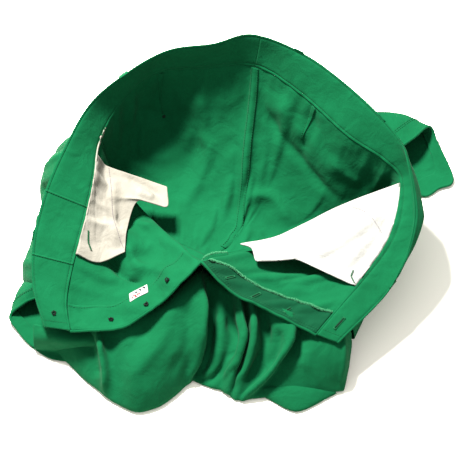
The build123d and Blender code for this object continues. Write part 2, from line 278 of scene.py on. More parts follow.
def cloth_material(name, dark, light, pitch, bump, sheen=0.012):
    """Twill or plain weave on the piece's flat coordinates, with mottled dye and small slubs."""
    s = Shader(name, Roughness=0.88, Sheen_Weight=sheen, Sheen_Roughness=0.45, Specular_IOR_Level=0.04)
    flat = s.node("ShaderNodeUVMap", uv_map="flat").outputs[0]
    place = s.node("ShaderNodeTexCoord").outputs["Object"]
    turned = s.node("ShaderNodeMapping", {"Vector": flat, "Rotation": (0, 0, WEAVE_LEAN)}).outputs[0]
    ribs = s.node("ShaderNodeTexWave",
                  {"Vector": turned, "Scale": WAVE_SCALE / pitch, "Distortion": 0.6, "Detail": 1.0})
    slubs = s.node("ShaderNodeTexNoise", {"Vector": flat, "Scale": 900.0, "Detail": 2.0})
    dye = s.node("ShaderNodeTexNoise", {"Vector": place, "Scale": 34.0, "Detail": 5.0, "Roughness": 0.62})
    spread = s.node("ShaderNodeMapRange", {0: dye.outputs[0], 1: 0.0, 2: 1.0}).outputs[0]
    base = s.node("ShaderNodeMix", {0: spread, 6: dark, 7: light}, data_type="RGBA").outputs[2]
    grain = s.node("ShaderNodeMapRange", {0: slubs.outputs[0], 1: 0.3, 2: 0.7, 3: 0.9, 4: 1.06}).outputs[0]
    colour = s.node("ShaderNodeVectorMath", {0: base, 1: grain}, operation="MULTIPLY").outputs[0]
    s.link(colour, "Base Color")
    relief = s.node("ShaderNodeMath", {0: ribs.outputs[0], 1: slubs.outputs[0]}, operation="ADD").outputs[0]
    fine = s.node("ShaderNodeBump", {"Height": relief, "Strength": 0.5, "Distance": bump}).outputs[0]
    soft = s.node("ShaderNodeTexNoise", {"Vector": place, "Scale": 46.0, "Detail": 4.0, "Distortion": 0.6})
    rumpled = s.node("ShaderNodeBump",
                     {"Height": soft.outputs[0], "Strength": 0.7, "Distance": 0.0028, "Normal": fine})
    creased = s.node("ShaderNodeTexNoise", {"Vector": place, "Scale": 11.0, "Detail": 3.0, "Distortion": 1.1},
                     noise_type="RIDGED_MULTIFRACTAL")
    crinkle = s.node("ShaderNodeBump", {"Height": creased.outputs[0], "Strength": 0.6, "Distance": CREASE,
                                        "Normal": rumpled.outputs[0]})
    s.link(crinkle.outputs[0], "Normal")
    return s.material


def plain_material(name, colour, roughness, scale=400.0, spread=0.25, gloss=0.06):
    """Thread, plastic and tape: one colour with fine variation and relief."""
    s = Shader(name, Roughness=roughness, Specular_IOR_Level=gloss)
    place = s.node("ShaderNodeTexCoord").outputs["Object"]
    noise = s.node("ShaderNodeTexNoise", {"Vector": place, "Scale": scale, "Detail": 3.0})
    dark = tuple(c * (1 - spread) for c in colour) + (1,)
    light = tuple(min(1, c * (1 + spread)) for c in colour) + (1,)
    base = s.node("ShaderNodeMix", {0: noise.outputs[0], 6: dark, 7: light}, data_type="RGBA")
    s.link(base.outputs[2], "Base Color")
    relief = s.node("ShaderNodeBump", {"Height": noise.outputs[0], "Strength": 0.5, "Distance": 0.0002})
    s.link(relief.outputs[0], "Normal")
    return s.material


# The pitch of the weave and the depth of its relief.
TWILL_WEAVE = 0.0011, 0.00025
PLAIN_WEAVE = 0.0007, 0.0001, 0.02
GREEN = cloth_material("green_twill", (0.0006, 0.038, 0.0120, 1), (0.0016, 0.060, 0.021, 1), *TWILL_WEAVE)
# A darker copy of the green twill for the buttonhole facing: painted shade on the front by the fly.
GREEN_PAINTED_SHADE = cloth_material(
    "green_twill_painted_shade", (0.0005, 0.0215, 0.0078, 1), (0.0012, 0.033, 0.0125, 1), *TWILL_WEAVE)
WHITE = cloth_material("white_pocketing", (0.19, 0.185, 0.165, 1), (0.24, 0.238, 0.22, 1), *PLAIN_WEAVE)
# A darker, warmer copy of the pocketing for the right bag: painted shade.
POCKETING_PAINTED_SHADE = cloth_material("pocketing_painted_shade", (0.135, 0.122, 0.094, 1), (0.185, 0.174, 0.146, 1), *PLAIN_WEAVE)
GREEN_THREAD = plain_material("green_thread", (0.003, 0.048, 0.017), 0.6)
PALE_THREAD = plain_material("overlock_thread", (0.03, 0.13, 0.06), 0.85)
MAUVE_THREAD = plain_material("seam_thread", (0.07, 0.05, 0.08), 0.7)
RED_THREAD = plain_material("red_thread", (0.20, 0.01, 0.012), 0.7)
BLACK_THREAD_AND_SLIT_SHADE = plain_material("black_thread_and_slit_shade", (0.003, 0.003, 0.003), 0.6)
PLASTIC = plain_material("button_plastic", (0.004, 0.025, 0.012), 0.3, scale=90.0, gloss=0.4)
LABEL_TAPE = plain_material("label_tape", (0.21, 0.21, 0.20), 0.6, scale=900.0, spread=0.08)


def twill(name, grid, **settings):
    """A piece of the green cloth."""
    return dress(grid_object(name, grid), GREEN, "twill", **settings)


# ---- Cloth that falls ------------------------------------------------------------------------------------
def settled_grid(grid, pins, frames, shrink, bending, colliders):
    """The shape that a grid of cloth comes to when it hangs from its pinned vertices over the colliders."""
    ob = grid_object("falling_cloth", grid)
    ob.vertex_groups.new(name="pinned").add(pins, 1.0, "REPLACE")
    for c in colliders:
        c.modifiers.new("hit", "COLLISION")
        c.collision.thickness_outer = 0.002
        c.collision.cloth_friction = 12
    m = ob.modifiers.new("cloth", "CLOTH")
    s = m.settings
    s.quality, s.mass, s.air_damping = 6, 0.3, 2.0
    s.tension_stiffness = s.compression_stiffness = 30
    s.shear_stiffness, s.bending_stiffness = 15, bending
    s.tension_damping = s.compression_damping = 15
    s.shear_damping, s.bending_damping = 10, 1
    s.vertex_group_mass = "pinned"
    s.pin_stiffness = 1.0
    s.shrink_min = shrink
    m.collision_settings.use_collision = True
    m.collision_settings.distance_min = 0.003
    m.point_cache.frame_start, m.point_cache.frame_end = 1, frames + 1
    for f in range(1, frames + 1):
        scene.frame_set(f)
    evaluated = ob.evaluated_get(bpy.context.evaluated_depsgraph_get())
    shape = np.zeros(grid.size, np.float32)
    evaluated.data.vertices.foreach_get("co", shape)
    for c in colliders:
        c.modifiers.remove(c.modifiers["hit"])
    bpy.data.objects.remove(ob)
    scene.frame_set(1)
    return shape.reshape(grid.shape).astype(float)


def copy_of_node(name):
    """A hidden copy of a CAD node's shape, for cloth to fall on."""
    ob = bpy.data.objects.new("mould_" + name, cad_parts[name].data.copy())
    scene.collection.objects.link(ob)
    return ob


ground = mesh_object("ground", [(-2, -2, 0), (2, -2, 0), (2, 2, 0), (-2, 2, 0)], [(0, 1, 2, 3)])


# ---- Trunk: four panels sewn into one open bowl ----------------------------------------------------------
# The fly's edges and seams run down to the crotch, and the rows follow them from the waist.
ROWS = 52
PANEL_COLUMNS = {
    "front_panel_right": 40, "back_panel_right": 48, "back_panel_left": 48, "front_panel_left": 42,
}


def join(*parts):
    return np.vstack(parts)


def middle(a, b):
    return (a[-1:] + b[-1:]) / 2


# Lines down the panels between their seams: the place along the waist seam, then the points below it.
RIGHT_FRONT_LINES = {
    2: [(-160, -50, 60), (-125, -34, 58), (-86, -8, 74), (-74, 0, 48)],
    3: [(-158, 6, 70), (-136, 12, 60), (-106, 20, 72), (-92, 26, 44)],
    4: [(-158, 52, 74), (-144, 50, 60), (-125, 49, 66), (-112, 52, 38)],
}
RIGHT_BACK_LINES = {
    6: [(-134, 152, 82), (-126, 140, 50), (-108, 100, 34)],
    7: [(-92, 181, 92), (-82, 158, 58), (-64, 110, 38)],
}
LEFT_BACK_LINES = {
    10: [(77, 142, 102), (66, 118, 70), (48, 76, 46)],
    11: [(133, 97, 86), (119, 77, 56), (92, 44, 38)],
    12: [(179, 76, 74), (162, 62, 48), (126, 40, 34)],
}


def trunk_grid():
    """The four panels' columns of points, from the fly's right edge round the back to its left edge."""
    front = CROTCH_FRONT[-1:]
    seams = {
        0: (join(FLY_RIGHT, CROTCH_FRONT), front),
        SIDE_RIGHT: (join(SIDE_SEAM_RIGHT, CROTCH_RIGHT), CROTCH_RIGHT),
        CENTRE_BACK: (join(BACK_SEAM, CROTCH_BACK), CROTCH_BACK),
        SIDE_LEFT: (join(SIDE_SEAM_LEFT, CROTCH_LEFT), CROTCH_LEFT),
        len(WAIST_SEAM) - 1: (join(FLY_LEFT, CROTCH_FRONT), front),
    }
    between = {**RIGHT_FRONT_LINES, **RIGHT_BACK_LINES, **LEFT_BACK_LINES}
    grids = []
    stops = sorted(seams)
    for (first, last), count in zip(zip(stops, stops[1:]), PANEL_COLUMNS.values()):
        bottom = join(seams[first][1], middle(seams[first][1], seams[last][1]), seams[last][1])
        lines = [first] + [k for k in sorted(between) if first < k < last] + [last]
        shares = np.linspace(0, count, last - first + 1).round().astype(int)
        low = curve(bottom, count + 1)
        for a, b in zip(lines, lines[1:]):
            i, j = shares[a - first], shares[b - first]
            edges = []
            for k, at in ((a, i), (b, j)):
                if k in seams:
                    down = seams[k][0]
                else:
                    down = join(WAIST_SEAM[k : k + 1], metres(between[k]), low[at : at + 1])
                edges.append(curve(down, ROWS))
            grid = coons(span(WAIST_SEAM, a, b, j - i + 1), low[i : j + 1], *edges)
            grids.append(grid if not grids else grid[:, 1:])
    return np.concatenate(grids, 1)


trunk = trunk_grid()
rows, columns = trunk.shape[:2]
number = np.arange(rows * columns).reshape(rows, columns)
pins = sorted({int(i) for side in (number[0], number[-1], number[:, 0], number[:, -1]) for i in side})
moulds = [copy_of_node(n) for n in ("right_leg_under_fold", "left_leg_under_fold")] + [ground]
trunk = settled_grid(trunk, pins, 30, shrink=-0.02, bending=20.0, colliders=moulds)
for mould in moulds[:-1]:
    bpy.data.objects.remove(mould)

TRUNK_FOLDS = [
    ([(-46, 178, 108), (-33, 160, 84), (-34, 142, 64), (-28, 127, 52), (-38, 102, 33), (-62, 60, 22)],
     9, 4.5, 1.8),
    ([(-58, 172, 88), (-52, 150, 66), (-58, 120, 44), (-70, 84, 28)], 11, -3.0, 1.0),
    ([(31, 170, 118), (43, 146, 95), (60, 125, 84), (84, 105, 70), (107, 79, 56), (133, 58, 40)],
     6, -5.0, 1.0),
    ([(48, 168, 124), (76, 136, 99), (106, 106, 86), (140, 78, 64)], 13, 4.5, 1.0),
    ([(14, 68, 32), (38, 74, 34), (58, 62, 29), (72, 36, 21)], 10, 6.5, 1.7),
    ([(24, 54, 24), (37, 34, 20), (44, 14, 19)], 8, -3.5, 1.0),
    ([(-118, 160, 84), (-105, 167, 76), (-88, 167, 68), (-62, 171, 84)], 6, -3.0, 1.4),
    ([(-110, 150, 62), (-90, 156, 62), (-70, 160, 70)], 5, 2.4, 1.2),
    ([(100, 138, 120), (101, 124, 104), (86, 111, 78)], 5, -3.0, 1.3),
    ([(122, 95, 84), (139, 82, 72), (159, 72, 61)], 6, 3.0, 1.4),
    ([(-105, 122, 33), (-76, 132, 40), (-50, 148, 66)], 9, 3.0, 1.3),
    ([(-143, 125, 56), (-118, 115, 34), (-92, 104, 28)], 8, 3.0, 1.2),
    ([(-1, 128, 62), (-5, 86, 36), (-14, 48, 20)], 8, 2.5, 1.4),
    ([(-152, -26, 60), (-140, -42, 54), (-126, -56, 57), (-108, -64, 58)], 9, -15.0, 2.6),
    ([(-130, -12, 58), (-121, -34, 58), (-108, -50, 62)], 8, 7.0, 1.8),
    ([(-186, -70, 56), (-160, -82, 52), (-128, -84, 54)], 8, 2.4, 1.0),
    ([(70, -60, 64), (100, -50, 62), (130, -52, 60)], 9, 3.0, 1.4),
    ([(20, -60, 66), (52, -62, 64), (88, -78, 60)], 8, 3.5, 1.5),
]
trunk = wrinkle(trunk, TRUNK_FOLDS)
trunk = rumple(trunk, 0.0017, 19.0)
# The cloth lies over the buttons that hang on its outer side.
BUTTON_RADIUS, BUTTON_DEPTH, BUTTON_COVER, LIFT_REACH = 0.010, 0.03, 0.0058, 0.017
for number in (1, 2, 3):
    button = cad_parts[f"fly_button_{number}"]
    corners = np.array([tuple(button.matrix_world @ v.co) for v in button.data.vertices])
    middle_point = (corners.max(0) + corners.min(0)) / 2
    up = np.linalg.svd(corners - corners.mean(0), full_matrices=False)[2][2]
    up = up * np.sign(up[2])
    away = trunk - middle_point
    height = away @ up
    aside = np.linalg.norm(away - height[..., None] * up, axis=2)
    level = np.abs(height) < BUTTON_DEPTH
    near = (aside < BUTTON_RADIUS) & level
    if near.any():
        lift = max(0.0, BUTTON_COVER - height[near].min())
        trunk = trunk + (lift * np.exp(-((aside / LIFT_REACH) ** 2)) * level)[..., None] * up
# The panels go on a little way under the band.
tucked_up = trunk[:1] + (curve(WAIST_EDGE, columns) - trunk[0])[None] * 0.09
tucked_up = tucked_up - normals(trunk)[:1] * 0.0022
first = 0
panel_start = {}
for name, count in PANEL_COLUMNS.items():
    panel_start[name] = first
    part = slice(first, first + count + 1)
    panel = twill(name + "_cloth", join(tucked_up[:, part], trunk[:, part]))
    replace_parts(panel, name)
    first += count


DROP_HEIGHT = 0.3


class Surface:
    """Any place on a grid of cloth, by row and column, and how far inward it stands from it."""

    def __init__(self, grid):
        self.grid, self.normal = grid, normals(grid)

    def at(self, row, column, lift=0.0):
        row, column = np.broadcast_arrays(np.asarray(row, float), np.asarray(column, float))
        r = np.clip(np.floor(row).astype(int), 0, self.grid.shape[0] - 2)
        c = np.clip(np.floor(column).astype(int), 0, self.grid.shape[1] - 2)
        fr, fc = (row - r)[..., None], (column - c)[..., None]

        def mix(a):
            top = a[r, c] * (1 - fc) + a[r, c + 1] * fc
            low = a[r + 1, c] * (1 - fc) + a[r + 1, c + 1] * fc
            return top * (1 - fr) + low * fr

        n = unit(mix(self.normal))
        return mix(self.grid) + n * np.asarray(lift)[..., None], n

    def drop(self, points, lift):
        """Places over the cloth by lift, straight above or below the points (millimetres)."""
        tree = self.tree()
        hits = [tree.ray_cast((x * MM, y * MM, DROP_HEIGHT), (0, 0, -1))[0] for x, y, *_ in points]
        return np.array([np.array(hit) + (0, 0, lift) for hit in hits if hit is not None])

    def tree(self):
        points = [tuple(v) for v in self.grid.reshape(-1, 3)]
        return BVHTree.FromPolygons(points, grid_faces(*self.grid.shape[:2]))


TRUNK = Surface(trunk)


# ---- Waistband -------------------------------------------------------------------------------------------
# Rows across the band: distance from its free edge, and how deep the two rows of edge stitching pull in.
BAND_WIDTH = 0.045
BAND_ROWS = np.array([0, 0.9, 1.8, 2.6, 3.4, 6, 12, 20, 28, 36, 40, 41.4, 42.2, 43, 44, 45]) * MM
BAND_RELIEF = metres([-0.2, 0.4, 0.1, -0.7, 0.1, 0.6, 0.5, 0.3, 0.3, 0.5, 0.6, 0.1, -0.7, 0.1, 0.4, 0.2])
BAND_ROLL = [0] * 12 + [0.010, 0.024, 0.014, 0, 0]
BAND_COLUMNS = 321

seam, edge = curve(WAIST_SEAM, BAND_COLUMNS), curve(WAIST_EDGE, BAND_COLUMNS)
share = (BAND_ROWS / BAND_WIDTH)[:, None, None]
roll = np.interp(np.linspace(0, 1, BAND_COLUMNS), np.linspace(0, 1, len(BAND_ROLL)), BAND_ROLL)
band = edge[None] * (1 - share) + seam[None] * share
band = band + np.array([1, 0, -0.1]) * 4 * share * (1 - share) * roll[None, :, None]
along = np.linspace(0, 1.0, BAND_COLUMNS)[None, :]
across = BAND_ROWS[:, None] / BAND_WIDTH
pucker = 0.35 * np.sin(along * 2 * math.pi / 0.021 + 2.1 * np.sin(along * 41)) * across**3
pucker = pucker + 1.3 * np.sin(along * 23 + 1.2) * np.sin(along * 57) * np.sin(math.pi * across)
band = band + normals(band) * (BAND_RELIEF[:, None] + pucker * MM)[..., None]
BAND = Surface(band)
centre_back = nearest(seam, WAIST_SEAM[CENTRE_BACK])
for name, part in (
    ("waistband_right", slice(0, centre_back + 1)),
    ("waistband_left", slice(centre_back, None)),
):
    strip = twill(name + "_cloth", band[:, part], thickness=0.0024)
    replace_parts(strip, name)


# ---- Sewing ----------------------------------------------------------------------------------------------
class Sewing:
    """Stitches and knots of one thread, gathered into one piece."""

    def __init__(self):
        self.verts, self.faces = [], []

    def rod(self, a, b, radius, sides=5):
        """One short length of thread between two points, closed and tapered at its ends."""
        a, b = np.array(a), np.array(b)
        axis = (b - a) / max(np.linalg.norm(b - a), 1e-9)
        side = unit(np.cross(axis, (0.31, 0.57, 0.76)))
        other = np.cross(axis, side)
        first = len(self.verts)
        self.verts.append(a)
        for share in (0.22, 0.78):
            for k in range(sides):
                t = 2 * math.pi * k / sides
                self.verts.append(a + (b - a) * share + radius * (math.cos(t) * side + math.sin(t) * other))
        self.verts.append(b)
        for k in range(sides):
            n = (k + 1) % sides
            self.faces.append((first, first + 1 + n, first + 1 + k))
            self.faces.append((first + 1 + k, first + 1 + n, first + 1 + sides + n, first + 1 + sides + k))
            self.faces.append((first + 1 + sides + k, first + 1 + sides + n, first + 1 + 2 * sides))

    def run(self, points, pitch=0.0032, length=0.0023, radius=0.00032):
        """A row of stitches along a line."""
        points = np.array(points)
        done = run_lengths(points)
        for start in np.arange(0, done[-1] - length, pitch):
            ends = [np.array([np.interp(d, done, v) for v in points.T]) for d in (start, start + length)]
            self.rod(*ends, radius)

    def thread(self, points, radius, sides=5):
        """One unbroken thread through the points."""
        for a, b in zip(points, points[1:]):
            self.rod(a - (b - a) * 0.25, b + (b - a) * 0.25, radius, sides)

    def piece(self, name, material, body=ROOT):
        ob = mesh_object(name, self.verts, self.faces)
        return dress(ob, material, "thread", body, thickness=0, levels=0)


green, pale, black = Sewing(), Sewing(), Sewing()
BAND_LIFT = 0.0014
for depth in (2.6 * MM, 42.2 * MM):
    row = np.interp(depth, BAND_ROWS, np.arange(len(BAND_ROWS)))
    green.run(BAND.at(row, np.linspace(2, BAND_COLUMNS - 3, 700), BAND_LIFT)[0])
for column in (3, BAND_COLUMNS - 4):
    green.run(BAND.at(np.linspace(2, 13, 12), column, BAND_LIFT)[0])


# ---- Seams of the trunk ----------------------------------------------------------------------------------
TRUNK_FLY_ROW = {"right": 35.8, "left": 34.4}  # where the open fly ends


def column_from_edge(row, distance, side):
    """The trunk column that lies at a distance from the right or left fly edge, along a row."""
    line, _ = TRUNK.at(np.full(columns, row), np.arange(columns))
    if side == "left":
        line = line[::-1]
    found = np.interp(distance, run_lengths(line), np.arange(columns))
    return columns - 1 - found if side == "left" else found


def beside_column(rows_down, column, distance):
    """Columns at a distance beside one column, for each row."""
    a, _ = TRUNK.at(rows_down, column - 1)
    b, _ = TRUNK.at(rows_down, column + 1)
    return column + distance * 2 / np.linalg.norm(b - a, axis=-1)


# Two seams across the right half of the band, where its outer piece is joined.
for number, place in enumerate(((-0.178, 0.024, 0.082), (-0.200, -0.045, 0.062)), start=1):
    column = nearest(seam, place)
    grid, _ = BAND.at(np.linspace(0.4, 14.6, 16)[:, None], column + np.array([[-0.9, -0.5, 0.0, 0.15]]),
                      BAND_LIFT + np.array([[-0.0009, 0.0004, 0.0006, -0.0009]]))
    twill(f"band_join_{number}", grid, thickness=0.0006)
    green.run(BAND.at(np.linspace(0.6, 14.4, 40), np.full(40, column - 0.4), BAND_LIFT + 0.0007)[0])


SEAM_LIFT = 0.0012
STITCH_LIFT = 0.0009


def seam_strip(name, column, width):
    """A felled seam: a flat strip down the trunk with a row of stitches along each edge."""
    down = np.linspace(0.4, 46, 60)
    share = np.linspace(-0.5, 0.5, 7)
    across = np.stack([beside_column(down, column, width * k) for k in share])
    crown = 0.0007 * (1 - np.abs(2 * share) ** 6)[:, None]
    grid, _ = TRUNK.at(down[None], across, crown + SEAM_LIFT * 0.6)
    twill(name, grid, thickness=0.0008)
    for k in (-0.36, 0.36):
        beside = beside_column(down, column, width * k)
        green.run(TRUNK.at(down, beside, SEAM_LIFT + STITCH_LIFT)[0], radius=0.00036)


seam_strip("centre_back_seam", panel_start["back_panel_left"], 0.010)
seam_strip("right_side_seam", panel_start["back_panel_right"], 0.008)
seam_strip("left_side_seam", panel_start["front_panel_left"], 0.008)

DARTS = {"right_dart": ((-0.094, 0.191, 0.130), 14.0), "left_dart": ((0.100, 0.145, 0.130), 11.0)}
for name, (place, end) in DARTS.items():
    column = nearest(trunk[0], place)
    down = np.linspace(0.3, end, 24)
    taper = np.linspace(1, 0.05, 24)
    share = np.linspace(0, 1, 4)
    across = np.stack([beside_column(down, column, 0.007 * k * taper) for k in share])
    grid, _ = TRUNK.at(down[None], across, 0.0006 + 0.0016 * share[:, None] * taper)
    twill(name, grid, thickness=0.0009)
    thread = black if name == "right_dart" else green
    thread.run(TRUNK.at(down, beside_column(down, column, -0.0008), 0.0005)[0], pitch=0.0026, length=0.0024)


def knot(sewing, centre, normal, size, turns, seed):
    """A small tangle of thread."""
    rng = random.Random(seed)
    n = np.array(normal)
    side = unit(np.cross(n, (0.2, 0.9, 0.4)))
    other = np.cross(n, side)
    points = []
    for k in range(turns * 5):
        t = k * 2 * math.pi / 5 + rng.uniform(-0.3, 0.3)
        reach = size * rng.uniform(0.35, 1.0)
        flat = side * reach * math.cos(t) + other * reach * math.sin(t)
        points.append(centre + flat + n * rng.uniform(0, size * 0.5))
    sewing.thread(points, 0.0005)


dart_end, dart_normal = TRUNK.at(14.2, nearest(trunk[0], DARTS["right_dart"][0]), 0.0008)
knot(black, dart_end, dart_normal, 0.0022, 4, 5)


# ---- Fly -------------------------------------------------------------------------------------------------
FACING_WIDTH = 0.036
FACING_LIFT = 0.0020
FACING_POINTS = 48
FACING_BEND = 9  # how many rows before its end the left facing starts to narrow


def facing(name, side, node):
    """The doubled strip inside a fly edge. The left one narrows in a curve to the end of the fly."""
    last = TRUNK_FLY_ROW[side] - 0.3
    down = np.linspace(0.2, last, FACING_POINTS)
    widths = np.full(FACING_POINTS, FACING_WIDTH)
    if side == "left":
        bend = np.clip((down - (last - FACING_BEND)) / FACING_BEND, 0, 1)
        widths = FACING_WIDTH * np.sqrt(np.clip(1 - 0.93 * bend**2.2, 0, 1))
    share = np.linspace(0.015, 1, 12)
    across = np.array([[column_from_edge(r, w * k, side) for r, w in zip(down, widths)] for k in share])
    ripple = 0.0004 * np.sin(down * 1.7 + 3 * np.sin(down * 0.4))[None] * share[:, None] ** 3
    grid, _ = TRUNK.at(down[None], across, FACING_LIFT + ripple)
    strip = grid_object(name, grid if side == "right" else grid[::-1])
    # The left facing takes the darker copy of the green twill: painted shade.
    dress(strip, GREEN if side == "right" else GREEN_PAINTED_SHADE, "twill", thickness=0.0012)
    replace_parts(strip, node)
    for distance in (FACING_WIDTH - 0.003,) if side == "right" else (0.0035, 0.0075):
        inset = [column_from_edge(r, min(distance, w), side) for r, w in zip(down, widths)]
        green.run(TRUNK.at(down, np.array(inset), FACING_LIFT + STITCH_LIFT)[0])
    return TRUNK.at(down, across[-1], FACING_LIFT + 0.0012)


facing("button_stand_cloth", "right", "button_stand")
border, border_normal = facing("buttonhole_facing_cloth", "left", "buttonhole_facing")


TUBE_SIDES = 8


def tube(name, path, radius):
    """A round edge of cloth along a path."""
    tangent = unit(np.gradient(path, axis=0))
    side = unit(np.cross(tangent, (0.1, 0.2, 0.97)))
    other = np.cross(tangent, side)
    t = np.linspace(0, 2 * math.pi, TUBE_SIDES + 1)
    around = np.cos(t)[:, None, None] * side + np.sin(t)[:, None, None] * other
    twill(name, path[None] + around * radius, thickness=0)


for side, column in (("right", 0), ("left", columns - 1)):
    rows_down = np.linspace(0, TRUNK_FLY_ROW[side], 60)
    edge_line, _ = TRUNK.at(rows_down, column, 0.0012)
    tube(f"{side}_fly_edge", edge_line, 0.0019)

# The curled end of the overlocked border, below the fly.
CURL = metres([(-38, -49, 72), (-36, -42, 75), (-28, -37, 76), (-18, -33, 73), (-7, -30, 68)])
CURL_FOOT = metres([(-36, -52, 69), (-29, -52, 69), (-20, -50, 68), (-12, -46, 66), (-5, -40, 64)])
curl_ends = [np.linspace(CURL[k], CURL_FOOT[k], 7) for k in (0, -1)]
curl_grid = coons(curve(CURL, 18), curve(CURL_FOOT, 18), *curl_ends)
curl_grid[..., 2] += 0.0022 * np.sin(np.linspace(0, math.pi, 7))[:, None]
twill("fly_end_flap", curl_grid)

# Overlocking: a thread that winds round the free border of the buttonhole facing and the curl.
rng = random.Random(11)
TURNS, STEPS = 150, 7
border = join(border, CURL)
border_normal = join(border_normal, np.tile((0.0, -0.2, 0.98), (len(CURL), 1)))
path = curve(border, TURNS * STEPS + 1)
path_normal = curve(border_normal, TURNS * STEPS + 1)
tangent = unit(np.gradient(path, axis=0))
outward = np.cross(path_normal, tangent)
loops = []
for k, (p, n, o, t) in enumerate(zip(path, path_normal, outward, tangent)):
    turn = k * 2 * math.pi / STEPS
    reach = 0.0017 * rng.uniform(0.75, 1.3)
    winding = o * reach * math.cos(turn) + n * reach * math.sin(turn) * 0.8
    loops.append(p + winding + t * rng.uniform(-0.0004, 0.0004))
pale.thread(loops, 0.00042, 4)
tube("overlocked_edge", path[::6], 0.0011)


def buttonhole(surface, row, columns_along, lift, length):
    """A slit with a satin-stitched rim: its middle is at the second of three columns, along the other two."""
    first, middle_column, last = columns_along
    centre, normal = surface.at(row, middle_column, lift)
    along = unit(surface.at(row, last)[0] - surface.at(row, first)[0])
    across = np.cross(normal, along)
    half = length / 2
    count = 16
    for k in range(count):
        x = -half + length * k / (count - 1)
        for side in (-1, 1):
            a = centre + along * x + across * side * 0.0005 + normal * 0.0004
            green.rod(a, a + across * side * 0.0016 - normal * 0.0002, 0.00045)
    for x in (-half, half):
        for k in (-1, 0, 1):
            a = centre + along * (x + k * 0.0005) + normal * 0.0005
            green.rod(a - across * 0.0021, a + across * 0.0021, 0.0004)
    # The black rod along the slit is painted shade, the dark of the opening.
    black.rod(centre - along * half * 0.93, centre + along * half * 0.93, 0.0006)


BUTTON_ROWS = np.array([0.20, 0.38, 0.54]) * (rows - 1)
BAND_MIDDLE_ROW = 7.5
for row in BUTTON_ROWS:
    at_columns = [column_from_edge(row, distance, "left") for distance in (0.010, 0.017, 0.024)]
    buttonhole(TRUNK, row, at_columns, FACING_LIFT + 0.0011, 0.015)
buttonhole(BAND, BAND_MIDDLE_ROW, [BAND_COLUMNS - k for k in (14, 9, 4)], BAND_LIFT, 0.018)

# Where the buttons on the outer side are sewn through.
marks = [BAND.at(BAND_MIDDLE_ROW, 0.04 * centre_back, BAND_LIFT)]
for row in BUTTON_ROWS:
    inset = 0.009 if row == BUTTON_ROWS[1] else 0.015
    marks.append(TRUNK.at(row, column_from_edge(row, inset, "right"), FACING_LIFT + 0.0012))
for seed, (centre, n) in enumerate(marks):
    knot(black, centre, n, 0.0030 + 0.0004 * (seed % 2), 3, seed)


# ---- Belt loops on the outer side of the band ------------------------------------------------------------
LOOP_WIDTH = 0.012
LOOPS = [("right", 0.22), ("right", 0.66), ("left", 0.1), ("left", 0.36), ("left", 0.8)]
LOOP_ROWS = np.array([0.0, 0.6, 3, 5, 7.5, 10, 12, 14])
LOOP_LIFT = -metres([1.8, 2.8, 3.0, 3.0, 3.0, 3.0, 3.0, 2.2])
band_spacing = np.linalg.norm(np.diff(seam, axis=0), axis=1).mean()
for number, (half_band, place) in enumerate(LOOPS, start=1):
    start, end = (0, centre_back) if half_band == "right" else (centre_back, BAND_COLUMNS - 1)
    across = start + place * (end - start) + np.linspace(-0.5, 0.5, 5) * LOOP_WIDTH / band_spacing
    grid, _ = BAND.at(LOOP_ROWS[:, None], across[None], LOOP_LIFT[:, None] + 0 * across[None])
    over = grid[:1] + (grid[:1] - grid[1:2]) * 2.5
    top = BAND.at(0.0, across[None])[0] + (grid[:1] - grid[1:2]) * 3.2
    loop = twill(f"belt_loop_cloth_{number}", join(top, over, grid), thickness=0.0014)
    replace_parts(loop, f"belt_loop_{number}")
    for row in (1.0, 13.0):
        ends, _ = BAND.at(row, across, -0.0046)
        green.run(ends, pitch=0.0012, length=0.0011)


# ---- Pocket bags -----------------------------------------------------------------------------------------
TRUNK_TREE = TRUNK.tree()


def above_trunk(grid, clearance):
    """The grid, lifted where the trunk below it would come through."""
    lifted = grid.copy()
    for index in np.ndindex(grid.shape[:2]):
        x, y, z = grid[index]
        hit = TRUNK_TREE.ray_cast((x, y, DROP_HEIGHT), (0, 0, -1))[0]
        if hit is not None and abs(hit.z - z) < 0.05:
            lifted[index][2] = max(z, hit.z + clearance)
    return lifted


BAG_POINTS = 60
# How far the bag stays over the trunk: before and after its folds are made, and where it is sewn.
LOOSE_CLEARANCE, CLOSE_CLEARANCE, SEWN_CLEARANCE = 0.0035, 0.002, 0.0022


def seam_between(first, last):
    """The part of the waist seam between the places nearest to two points."""
    i, j = (nearest(seam, metres(p)) for p in (first, last))
    part = seam[i : j + 1] if i < j else seam[j : i + 1][::-1]
    return curve(part, BAG_POINTS)


def pocket_bag(name, top, bottom, start, end, folds, seed, node, cotton):
    """A flat cotton bag, sewn in at its top edge."""
    top = top + (0, 0, -0.002)
    start, end = (metres(points) for points in (start, end))
    start = curve(join(top[:1], start, metres(bottom[:1])), BAG_POINTS)
    end = curve(join(top[-1:], end, metres(bottom[-1:])), BAG_POINTS)
    grid = above_trunk(coons(top, curve(metres(bottom), BAG_POINTS), start, end), LOOSE_CLEARANCE)
    grid = above_trunk(rumple(wrinkle(grid, folds, 2), 0.0012, 15.0, 3, seed), CLOSE_CLEARANCE)
    ob = grid_object(name, grid)
    dress(ob, cotton, "pocketing", node, thickness=0.0016)
    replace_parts(ob, node)
    return Surface(above_trunk(grid, SEWN_CLEARANCE))


